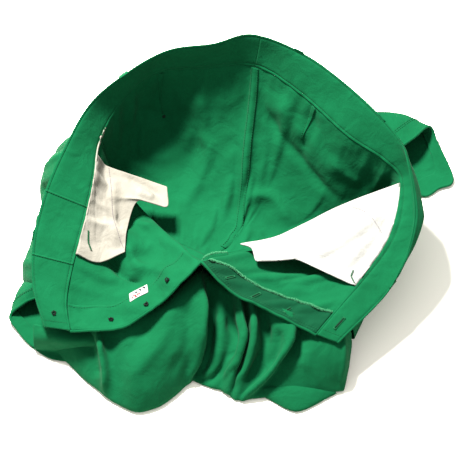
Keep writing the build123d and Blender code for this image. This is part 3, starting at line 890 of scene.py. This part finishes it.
RIGHT_BAG_FOLDS = [
    ([(-172, 70, 84), (-170, 30, 74), (-166, -20, 64)], 6, 3.0, 1.6),
    ([(-150, 72, 74), (-152, 30, 66), (-146, -24, 62)], 6, -3.0, 1.0),
    ([(-138, 76, 72), (-112, 66, 64), (-88, 52, 60)], 5, 3.0, 1.5),
    ([(-120, 56, 66), (-98, 50, 62)], 4, -3.0, 1.0),
]
LEFT_BAG_FOLDS = [
    ([(180, 20, 84), (140, -10, 72), (96, -38, 66)], 8, 2.0, 1.3),
    ([(196, 20, 80), (172, -22, 72), (136, -62, 64)], 6, -2.0, 1.0),
    ([(60, -6, 62), (90, 6, 68), (130, 18, 74)], 7, 2.0, 1.5),
    ([(30, -24, 66), (48, -22, 66), (70, -30, 66)], 4, 2.5, 1.5),
]
# The right bag takes the darker copy of the pocketing: painted shade.
right_bag = pocket_bag(
    "pocket_bag_right_cloth",
    seam_between((-157, 124, 112), (-189, -36, 72)),
    [(-82, 68, 60), (-82, 40, 58), (-106, 48, 66), (-121, 42, 64), (-130, 12, 60), (-133, -26, 61)],
    [(-168, 92, 93), (-160, 85, 85), (-122, 78, 71)],
    [(-165, -42, 64)],
    RIGHT_BAG_FOLDS, 3.0, "pocket_bag_right", POCKETING_PAINTED_SHADE,
)
left_bag = pocket_bag(
    "pocket_bag_left_cloth",
    seam_between((206, 58, 88), (150, -74, 62)),
    [(8, -17, 66), (22, -24, 68), (28, -42, 68), (40, -30, 67), (55, -26, 66)],
    [(130, 30, 78), (58, -2, 62)],
    [(100, -49, 64)],
    LEFT_BAG_FOLDS, 8.0, "pocket_bag_left", WHITE,
)

# Stitching on the bags: a seam line each, and a green bar tack at the pocket's mouth.
for side, bag, body, seam_line, tack in (
    ("right", right_bag, "pocket_bag_right",
     [(-154, 84), (-150, 50), (-148, 20), (-140, -8), (-134, -22)], [(-178, -6), (-178, -20), (-174, -30)]),
    ("left", left_bag, "pocket_bag_left",
     [(146, 28), (160, 22), (172, 10), (184, -8)], [(146, -52), (143, -60), (141, -70), (147, -70)]),
):
    lines, tacks = Sewing(), Sewing()
    sewn = bag.drop(curve([(*p, 0) for p in seam_line], 60), 0.0016)
    lines.run(sewn, pitch=0.0026, length=0.0021, radius=0.00022)
    for offset in (0, 0.7, 1.4):
        sewn = bag.drop([(x + offset, y) for x, y in tack], 0.0020)
        tacks.run(sewn, pitch=0.0016, length=0.0015, radius=0.0004)
    lines.piece(f"{side}_bag_seam", MAUVE_THREAD, body)
    tacks.piece(f"{side}_bag_tack", GREEN_THREAD, body)


# ---- Folded legs -----------------------------------------------------------------------------------------
FRONT_FOLDS = [
    [(-219, -124, 20), (-222, -127, 16), (-224, -129, 10), (-224, -130, 3)],
    [(-198, -121, 30), (-199, -129, 24), (-202, -140, 14), (-205, -147, 3)],
    [(-179, -116, 34), (-179, -127, 28), (-179, -151, 20), (-183, -170, 3)],
    [(-166, -111, 44), (-164, -135, 42), (-159, -156, 36), (-156, -181, 22), (-155, -195, 4)],
    [(-156, -109, 42), (-152, -135, 36), (-146, -161, 29), (-143, -184, 18), (-142, -205, 4)],
    [(-135, -108, 50), (-128, -138, 48), (-120, -168, 41), (-118, -196, 26), (-118, -217, 4)],
    [(-110, -106, 54), (-98, -136, 51), (-90, -163, 43), (-91, -190, 26), (-95, -211, 4)],
    [(-85, -100, 58), (-74, -124, 54), (-67, -150, 45), (-69, -175, 26), (-74, -197, 4)],
    [(-66, -84, 62), (-54, -114, 56), (-52, -143, 44), (-56, -163, 24), (-59, -181, 4)],
    [(-42, -62, 66), (-33, -103, 62), (-34, -132, 50), (-42, -160, 28), (-53, -177, 5)],
    [(-36, -56, 56), (-33, -83, 40), (-36, -118, 26), (-43, -151, 12), (-50, -173, 3)],
    [(-26, -60, 50), (-29, -88, 36), (-30, -121, 30), (-34, -148, 22), (-38, -179, 4)],
    [(-14, -68, 52), (-14, -96, 42), (-15, -126, 34), (-18, -153, 24), (-24, -184, 4)],
    [(-3, -74, 50), (-2, -96, 38), (0, -127, 28), (-9, -154, 18), (-16, -186, 4)],
    [(6, -79, 62), (10, -105, 58), (12, -132, 50), (4, -159, 34), (-9, -191, 6)],
    [(15, -80, 54), (17, -106, 42), (17, -135, 34), (10, -159, 22), (-3, -194, 4)],
    [(22, -87, 62), (25, -115, 56), (24, -141, 46), (15, -166, 28), (2, -199, 4)],
    [(34, -88, 54), (36, -116, 42), (40, -145, 34), (36, -166, 18), (6, -199, 4)],
    [(52, -99, 58), (55, -126, 52), (55, -149, 42), (44, -173, 26), (8, -199, 4)],
    [(71, -109, 60), (75, -132, 54), (66, -152, 46), (46, -177, 28), (12, -201, 6)],
    [(78, -104, 46), (75, -125, 38), (62, -151, 28), (46, -175, 14), (21, -198, 4)],
    [(98, -115, 50), (96, -135, 42), (86, -159, 32), (71, -179, 16), (52, -194, 4)],
    [(118, -121, 50), (118, -143, 44), (114, -165, 32), (106, -182, 16), (94, -191, 4)],
    [(134, -124, 46), (135, -145, 40), (136, -164, 30), (134, -178, 14), (128, -188, 4)],
    [(144, -124, 36), (144, -137, 28), (141, -156, 16), (138, -173, 6), (134, -187, 3)],
]
BOTTOM_FLAP = [
    [(36, -187, 10), (38, -193, 6), (41, -197, 2)],
    [(65, -182, 12), (66, -202, 8), (68, -216, 2)],
    [(84, -182, 12), (86, -202, 8), (87, -215, 2)],
    [(115, -178, 10), (121, -186, 6), (127, -191, 2)],
]
CUFF_FOLD = [
    [(-244, -109, 30), (-244, -123, 24), (-244, -129, 12), (-243, -130, 3)],
    [(-216, -118, 38), (-216, -132, 34), (-216, -135, 20), (-215, -134, 8)],
    [(-185, -120, 36), (-185, -134, 35), (-184, -137, 26), (-184, -136, 14)],
    [(-165, -118, 39), (-165, -133, 38), (-165, -140, 34), (-165, -139, 22)],
]
# The outside of the seat and legs, from the wearer's left front round the back to the right front.
OUTSIDE = [
    [(136, -104, 44), (144, -112, 34), (148, -118, 20), (148, -118, 8), (142, -112, 2)],
    [(158, -62, 56), (167, -63, 42), (172, -63, 26), (172, -62, 10), (166, -60, 2)],
    [(178, -34, 62), (186, -34, 46), (188, -32, 28), (186, -32, 10), (180, -30, 2)],
    [(194, -8, 66), (202, -6, 50), (203, -4, 30), (200, -4, 10), (194, -4, 2)],
    [(202, 26, 74), (210, 30, 56), (212, 32, 34), (208, 34, 12), (202, 32, 2)],
    [(208, 58, 82), (216, 64, 60), (216, 68, 36), (211, 70, 12), (205, 68, 2)],
    [(190, 84, 92), (200, 92, 68), (203, 102, 42), (201, 112, 14), (194, 112, 2)],
    [(168, 102, 106), (179, 116, 78), (184, 132, 46), (182, 142, 16), (176, 142, 2)],
    [(143, 114, 110), (153, 134, 80), (157, 152, 46), (155, 164, 16), (148, 164, 2)],
    [(114, 138, 120), (122, 158, 84), (124, 172, 48), (122, 180, 16), (116, 178, 2)],
    [(85, 163, 126), (90, 180, 88), (92, 192, 48), (90, 197, 16), (86, 194, 2)],
    [(56, 180, 130), (58, 194, 90), (56, 200, 48), (55, 202, 16), (52, 198, 2)],
    [(27, 197, 134), (28, 204, 92), (25, 205, 50), (23, 205, 16), (22, 200, 2)],
    [(-4, 199, 132), (-5, 208, 90), (-8, 210, 50), (-9, 208, 16), (-10, 203, 2)],
    [(-34, 198, 130), (-36, 204, 90), (-39, 204, 48), (-40, 204, 16), (-40, 199, 2)],
    [(-66, 198, 126), (-70, 208, 86), (-72, 209, 48), (-73, 206, 16), (-72, 201, 2)],
    [(-96, 195, 122), (-102, 202, 86), (-105, 202, 46), (-105, 199, 16), (-102, 194, 2)],
    [(-120, 180, 116), (-130, 192, 82), (-134, 196, 46), (-135, 194, 16), (-131, 188, 2)],
    [(-140, 162, 110), (-150, 174, 82), (-156, 180, 48), (-158, 180, 18), (-154, 174, 2)],
    [(-162, 128, 108), (-176, 144, 88), (-186, 154, 58), (-190, 160, 24), (-187, 158, 3)],
    [(-182, 96, 104), (-198, 116, 92), (-209, 130, 70), (-217, 140, 38), (-217, 144, 6)],
    [(-198, 79, 96), (-216, 101, 84), (-229, 110, 60), (-232, 116, 30), (-228, 118, 4)],
    [(-204, 61, 90), (-224, 72, 76), (-238, 82, 54), (-240, 89, 26), (-234, 90, 4)],
    [(-214, 39, 78), (-226, 48, 66), (-234, 55, 46), (-239, 57, 22), (-232, 57, 4)],
    [(-223, 8, 70), (-234, 13, 58), (-244, 22, 38), (-246, 27, 14), (-238, 24, 4)],
    [(-226, -23, 60), (-242, -17, 48), (-254, -11, 30), (-256, -6, 12), (-248, -8, 3)],
    [(-226, -48, 54), (-242, -44, 42), (-256, -38, 26), (-260, -33, 10), (-252, -34, 3)],
    [(-222, -72, 46), (-234, -66, 34), (-246, -58, 20), (-250, -54, 10), (-244, -54, 3)],
    [(-206, -100, 42), (-214, -98, 32), (-220, -94, 18), (-222, -92, 8), (-216, -90, 2)],
    [(-186, -112, 42), (-190, -116, 32), (-194, -118, 18), (-194, -118, 8), (-188, -112, 2)],
]
OUTSIDE_FOLDS = [
    ([(28, 202, 118), (27, 206, 80), (24, 206, 40), (22, 204, 8)], 4, 2.6, 1.2),
    ([(60, 190, 112), (64, 198, 70), (80, 198, 34)], 12, -7.0, 1.0),
    ([(-60, 200, 110), (-64, 208, 66), (-84, 206, 30)], 13, -7.0, 1.0),
    ([(-100, 198, 110), (-116, 200, 66), (-128, 196, 26)], 9, 4.0, 1.4),
    ([(104, 150, 112), (112, 170, 62), (130, 172, 24)], 10, -6.0, 1.0),
    ([(150, 124, 98), (162, 144, 60), (170, 152, 26)], 9, 4.5, 1.4),
    ([(188, 90, 88), (196, 100, 52), (194, 120, 20)], 8, -5.0, 1.0),
    ([(208, 44, 72), (214, 46, 42), (208, 50, 14)], 8, 4.0, 1.4),
    ([(206, 12, 62), (208, 14, 34), (202, 12, 10)], 9, -5.0, 1.0),
    ([(-148, 158, 104), (-166, 166, 66), (-176, 168, 28)], 8, -5.0, 1.0),
    ([(-196, 92, 96), (-214, 112, 74), (-224, 122, 40), (-226, 126, 12)], 6, -7.0, 1.3),
    ([(-204, 100, 88), (-220, 96, 74), (-234, 96, 52)], 5, 4.0, 1.5),
    ([(-210, 62, 84), (-228, 66, 66), (-238, 72, 40)], 5, -6.0, 1.2),
    ([(-222, 20, 70), (-236, 30, 54), (-244, 36, 30)], 7, 4.5, 1.4),
    ([(-228, -6, 62), (-244, -2, 46), (-252, 6, 22)], 6, -4.0, 1.0),
    ([(-230, -40, 52), (-246, -30, 40), (-258, -22, 18)], 7, 4.0, 1.4),
]


TUCK = 0.012
FLOOR_CLEARANCE = 0.0008
SMALL_RUMPLE = 0.0009, 18.0, 1, 5.0


def fold_piece(name, columns, rows, across, node=None, folds=None, roughness=SMALL_RUMPLE, towards=None):
    """A fold of cloth through given columns, turned under itself along its last row. With a place to go
    towards, the columns start at the waist seam and turn under that way."""
    placed = []
    for column in columns:
        c = metres(column)
        if towards is not None:
            at = nearest(seam, c[0])
            away = (seam[at] - metres(towards)) * (1, 1, 0)
            c = join([seam[at] + away / np.linalg.norm(away) * 0.0026 - (0, 0, 0.001)], c)
        inward = (c[-2] - c[-1]) * (1, 1, 0) if towards is None else (metres(towards) - c[-1]) * (1, 1, 0)
        inward = inward / max(np.linalg.norm(inward), 1e-6) * TUCK
        placed.append(join(c, [c[-1] * (1, 1, 0.25) + inward]))
    grid = smooth_rows(placed, rows, across)
    grid = rumple(wrinkle(grid, folds, 2) if folds else grid, *roughness)
    grid[..., 2] = np.maximum(grid[..., 2], FLOOR_CLEARANCE)
    ob = twill(name, grid)
    if node:
        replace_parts(ob, *node)


LEG_FOLDS = [
    ([(-164, -128, 42), (-161, -150, 37), (-156, -177, 25), (-155, -194, 8)], 5, 6.0, 2.4),
    ([(-174, -132, 34), (-170, -154, 28), (-167, -178, 17)], 8, -5.0, 1.0),
    ([(-74, -90, 60), (-80, -130, 46), (-104, -164, 36), (-132, -186, 21)], 12, 3.5, 1.6),
    ([(-98, -98, 54), (-112, -134, 42), (-128, -160, 34)], 10, -3.0, 1.0),
    ([(-56, -92, 60), (-55, -122, 53), (-59, -147, 39), (-80, -176, 24)], 9, -3.0, 1.2),
    ([(-36, -78, 62), (-34, -104, 60), (-34, -128, 53), (-37, -150, 30), (-52, -175, 11)], 5, 4.0, 2.0),
    ([(-24, -80, 38), (-27, -120, 30), (-32, -150, 20), (-42, -170, 8)], 6, -7.0, 1.0),
    ([(-52, -172, 14), (-34, -175, 9), (-22, -171, 13), (-12, -158, 17)], 4, -5.0, 1.0),
    ([(3, -92, 50), (7, -112, 50), (12, -136, 46), (4, -162, 31), (-16, -176, 10)], 4.5, 5.0, 2.2),
    ([(-6, -100, 34), (2, -136, 32), (-6, -154, 20)], 5, -6.0, 1.0),
    ([(25, -104, 56), (26, -140, 46), (18, -168, 27), (-1, -186, 10)], 5, 4.0, 1.8),
    ([(37, -104, 46), (39, -134, 38), (32, -156, 28), (13, -182, 14)], 6, -7.0, 1.0),
    ([(77, -120, 58), (70, -144, 50), (56, -164, 38), (36, -184, 22), (10, -198, 5)], 4.5, 4.5, 2.4),
    ([(60, -124, 44), (56, -146, 36), (44, -166, 26)], 7, -5.0, 1.0),
    ([(100, -126, 46), (96, -150, 38), (84, -172, 24)], 9, 2.0, 1.2),
    ([(136, -130, 46), (136, -152, 38), (134, -170, 24), (130, -186, 8)], 3, 2.2, 1.6),
]


# To the right of the fly the folds begin deeper, under the trunk.
under_fly = [
    ([(x, y + 26, max(z - 24, 4))] if x < 8 else []) + [(x, y, z), *rest] for (x, y, z), *rest in FRONT_FOLDS
]
fold_piece("leg_front_folds", under_fly, 44, 200, ["right_leg_front_fold", "left_leg_front_fold"],
           LEG_FOLDS, (0.0010, 17.0, 2, 3.0))
fold_piece("left_leg_bottom_flap", BOTTOM_FLAP, 8, 24)
fold_piece("right_leg_cuff_fold", CUFF_FOLD, 14, 30)
fold_piece("seat_and_legs_outside", OUTSIDE, 30, 300, ["seat_outside_right", "seat_outside_left"],
           OUTSIDE_FOLDS, (0.0013, 15.0, 1, 9.0), (0, 40, 0))


def ring(points, count):
    """A closed curve through the points, with its first point again at its end."""
    return curve(join(points, points[:1]), count)


END_ROWS, END_AROUND = 46, 96


def open_end(name, start, edge, root, node):
    """A leg's end: a tube out of the heap to the ring of its hem, with the hem turned up inside. root is how
    far back its start goes into the heap."""
    a, b = (ring(metres(points), END_AROUND + 1) for points in (start, edge))
    deep = a.mean(0) + (a - a.mean(0)) * (1.1, 1.1, 1.25) + metres(root)
    rings = np.stack([curve(line, END_ROWS) for line in np.stack([deep, a, b], 1)], 1)
    tube_grid = rumple(rings, 0.0010, 20.0, 0, seed=2.0)
    tube_grid[..., 2] = np.maximum(tube_grid[..., 2], FLOOR_CLEARANCE)
    ob = twill(name, tube_grid)
    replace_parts(ob, node)
    around = Surface(tube_grid)
    centre = b.mean(0)
    outward = np.sign(np.einsum("ijk,ijk->ij", around.normal, tube_grid - centre).mean())
    hem_rows = np.linspace(END_ROWS - 9.0, END_ROWS - 1.02, 9)
    columns_round = np.arange(END_AROUND + 1)
    turned, _ = around.at(hem_rows[:, None], columns_round[None], -0.0018 * outward)
    twill(name + "_hem", turned, thickness=0.0010)
    edge_line, _ = around.at(END_ROWS - 1.02, columns_round, -0.0009 * outward)
    tube(name + "_hem_edge", edge_line, 0.0021)
    for row in (END_ROWS - 8.4, END_ROWS - 7.6):
        green.run(around.at(row, np.linspace(0, END_AROUND - 0.01, 400), 0.0010 * outward)[0], radius=0.0004)


LEFT_HEM = [
    (204, 139, 30), (227, 158, 30), (248, 180, 22), (258, 163, 8), (276, 112, 3), (258, 100, 2), (238, 89, 2),
    (211, 109, 8),
]
LEFT_START = [
    (166, 166, 34), (177, 192, 34), (202, 195, 26), (211, 191, 10), (215, 155, 2), (202, 126, 2),
    (190, 119, 2), (174, 137, 8),
]
RIGHT_HEM = [
    (-240, -67, 24), (-258, -74, 20), (-275, -86, 8), (-264, -104, 3), (-249, -122, 2), (-234, -128, 2),
    (-216, -124, 6), (-222, -98, 20),
]
RIGHT_START = [
    (-229, -36, 34), (-244, -47, 30), (-259, -45, 16), (-262, -49, 6), (-242, -76, 2), (-216, -97, 2),
    (-198, -92, 6), (-209, -60, 20),
]
open_end("left_leg_end", LEFT_START, LEFT_HEM, (-58, -48, 6), "left_hem")
open_end("right_leg_end", RIGHT_START, RIGHT_HEM, (42, 48, 6), "right_hem")

# The legs folded flat under the seat, in layers. Sections: share of the outline's reach, and height.
UNDER_RIGHT = [(-190, -20), (-196, 50), (-165, 112), (-95, 160), (-16, 164), (-8, 80), (-40, 0), (-110, -45)]
UNDER_LEFT = [(0, 80), (6, 164), (68, 148), (128, 106), (160, 50), (148, -15), (85, -42), (6, -10)]
LAYER = [
    (0.86, 1.0), (0.95, 0.6), (0.985, 1.4), (1.0, 3.6), (0.985, 6.2), (0.95, 7.0), (0.86, 7.1), (0.6, 6.9),
    (0.3, 6.8), (0.02, 6.8),
]
AROUND = 161


def folded_layer(name, outline, height, shift, turn, node=None):
    outline = np.array(outline, float)
    middle_point = outline.mean(0)
    cos, sin = math.cos(math.radians(turn)), math.sin(math.radians(turn))
    outline = (outline - middle_point) @ np.array([[cos, sin], [-sin, cos]]) + middle_point + shift
    wave = 1 + 0.012 * np.sin(np.linspace(0, 2 * math.pi, AROUND) * 9 + turn)[:, None]
    reach = (ring(outline, AROUND) - middle_point) * wave
    rings = [np.c_[middle_point + reach * share, np.full(AROUND, height + z)] for share, z in LAYER]
    grid = np.stack(rings) * MM
    grid = rumple(grid, 0.0011, 17.0, 0, seed=turn)
    grid[..., 2] = np.maximum(grid[..., 2], 0.0007)
    ob = twill(name, grid)
    if node:
        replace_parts(ob, node)


folded_layer("right_leg_lower_fold", UNDER_RIGHT, 0.0, (0, 0), 0, "right_leg_under_fold")
folded_layer("right_leg_upper_fold", UNDER_RIGHT, 7.4, (2, -3), 3)
folded_layer("left_leg_lower_fold", UNDER_LEFT, 0.0, (0, 0), 0, "left_leg_under_fold")
folded_layer("left_leg_upper_fold", UNDER_LEFT, 7.4, (-1, -3), -3)


# ---- Label: a sewn white tape with generic marks ---------------------------------------------------------
LABEL_CORNERS = metres([(-127, -84, 0), (-105, -71, 0), (-125.5, -99, 0), (-103.5, -84, 0)])
LABEL_LIFT = 0.0036


def on_label(across, down, lift=0.0):
    """Points of the label from shares of its width and height."""
    across, down = np.broadcast_arrays(np.asarray(across, float), np.asarray(down, float))
    a, b, c, d = LABEL_CORNERS
    place = (1 - down)[..., None] * ((1 - across)[..., None] * a + across[..., None] * b)
    place = place + down[..., None] * ((1 - across)[..., None] * c + across[..., None] * d)
    found = TRUNK.drop(place.reshape(-1, 3) / MM, LABEL_LIFT + lift)
    return found.reshape(place.shape)


label_grid = on_label(np.linspace(0, 1, 12)[None], np.linspace(0, 1, 9)[:, None])
label_cloth = dress(grid_object("size_label_cloth", label_grid), LABEL_TAPE, "label", thickness=0.0006)
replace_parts(label_cloth, "size_label")
# Each mark: where it starts across and down the label, and how far it goes each way.
RED_MARKS = [
    (0.16, 0.55, 0, 0.3), (0.16, 0.55, 0.16, 0), (0.32, 0.5, 0, 0.34),
    (0.44, 0.5, 0, 0.3), (0.44, 0.66, 0.14, 0), (0.24, 0.84, 0.2, 0),
]
DARK_MARKS = [
    (0.42, 0.2, 0, 0.22), (0.52, 0.18, 0.14, 0), (0.6, 0.16, 0, 0.26),
    (0.72, 0.14, 0.14, 0), (0.84, 0.1, 0, 0.28), (0.3, 0.3, 0.1, 0),
]
MARK_LIFT, MARK_RADIUS = 0.0006, 0.0007
for name, marks, material in (
    ("label_marks_dark", DARK_MARKS, BLACK_THREAD_AND_SLIT_SHADE), ("label_marks_red", RED_MARKS, RED_THREAD),
):
    printed = Sewing()
    for x, y, right, down in marks:
        printed.rod(on_label(x, y, MARK_LIFT), on_label(x + right, y + down, MARK_LIFT), MARK_RADIUS)
    printed.piece(name, material)


# ---- Floor, light and camera -----------------------------------------------------------------------------
floor = mesh_object("floor", [(-3, -3, 0), (3, -3, 0), (3, 3, 0), (-3, 3, 0)], [(0, 1, 2, 3)])
floor.data.materials.append(plain_material("pale_floor", (0.92, 0.89, 0.79), 0.7, scale=3.0, spread=0.01))

world = bpy.data.worlds.new("studio")
world.use_nodes = True
background = world.node_tree.nodes["Background"].inputs
background["Color"].default_value, background["Strength"].default_value = (1, 1, 1, 1), 1.1
scene.world = world


def area_light(name, place, aim, size, power):
    data = bpy.data.lights.new(name, "AREA")
    data.shape, data.size, data.energy = "DISK", size, power
    ob = bpy.data.objects.new(name, data)
    scene.collection.objects.link(ob)
    ob.location = place
    direction = np.array(aim, float) - np.array(place, float)
    ob.rotation_euler = Vector(direction).to_track_quat("-Z", "Y").to_euler()


area_light("key", (-0.62, 0.88, 1.72), (0, 0, 0), 0.42, 310)

AIM = Vector((-0.004, 0.041, 0.0))
DISTANCE, ELEVATION, VIEW_WIDTH, SENSOR_WIDTH = 4.5, math.radians(60), 0.575, 36
camera = bpy.data.objects.new("camera", bpy.data.cameras.new("camera"))
scene.collection.objects.link(camera)
camera.location = AIM + DISTANCE * Vector((0, -math.cos(ELEVATION), math.sin(ELEVATION)))
camera.rotation_euler = (math.pi / 2 - ELEVATION, 0, 0)
camera.data.sensor_width = SENSOR_WIDTH
camera.data.lens = SENSOR_WIDTH * DISTANCE / VIEW_WIDTH
scene.camera = camera

bpy.data.objects.remove(ground)
green.piece("green_stitching", GREEN_THREAD)
pale.piece("overlock_stitching", PALE_THREAD)
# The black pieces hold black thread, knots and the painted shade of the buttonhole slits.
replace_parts(black.piece("black_marks_and_slit_shade", BLACK_THREAD_AND_SLIT_SHADE), "button_threads")
for name in ("waist_button", "fly_button_1", "fly_button_2", "fly_button_3"):
    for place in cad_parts[name].material_slots:
        place.material = PLASTIC
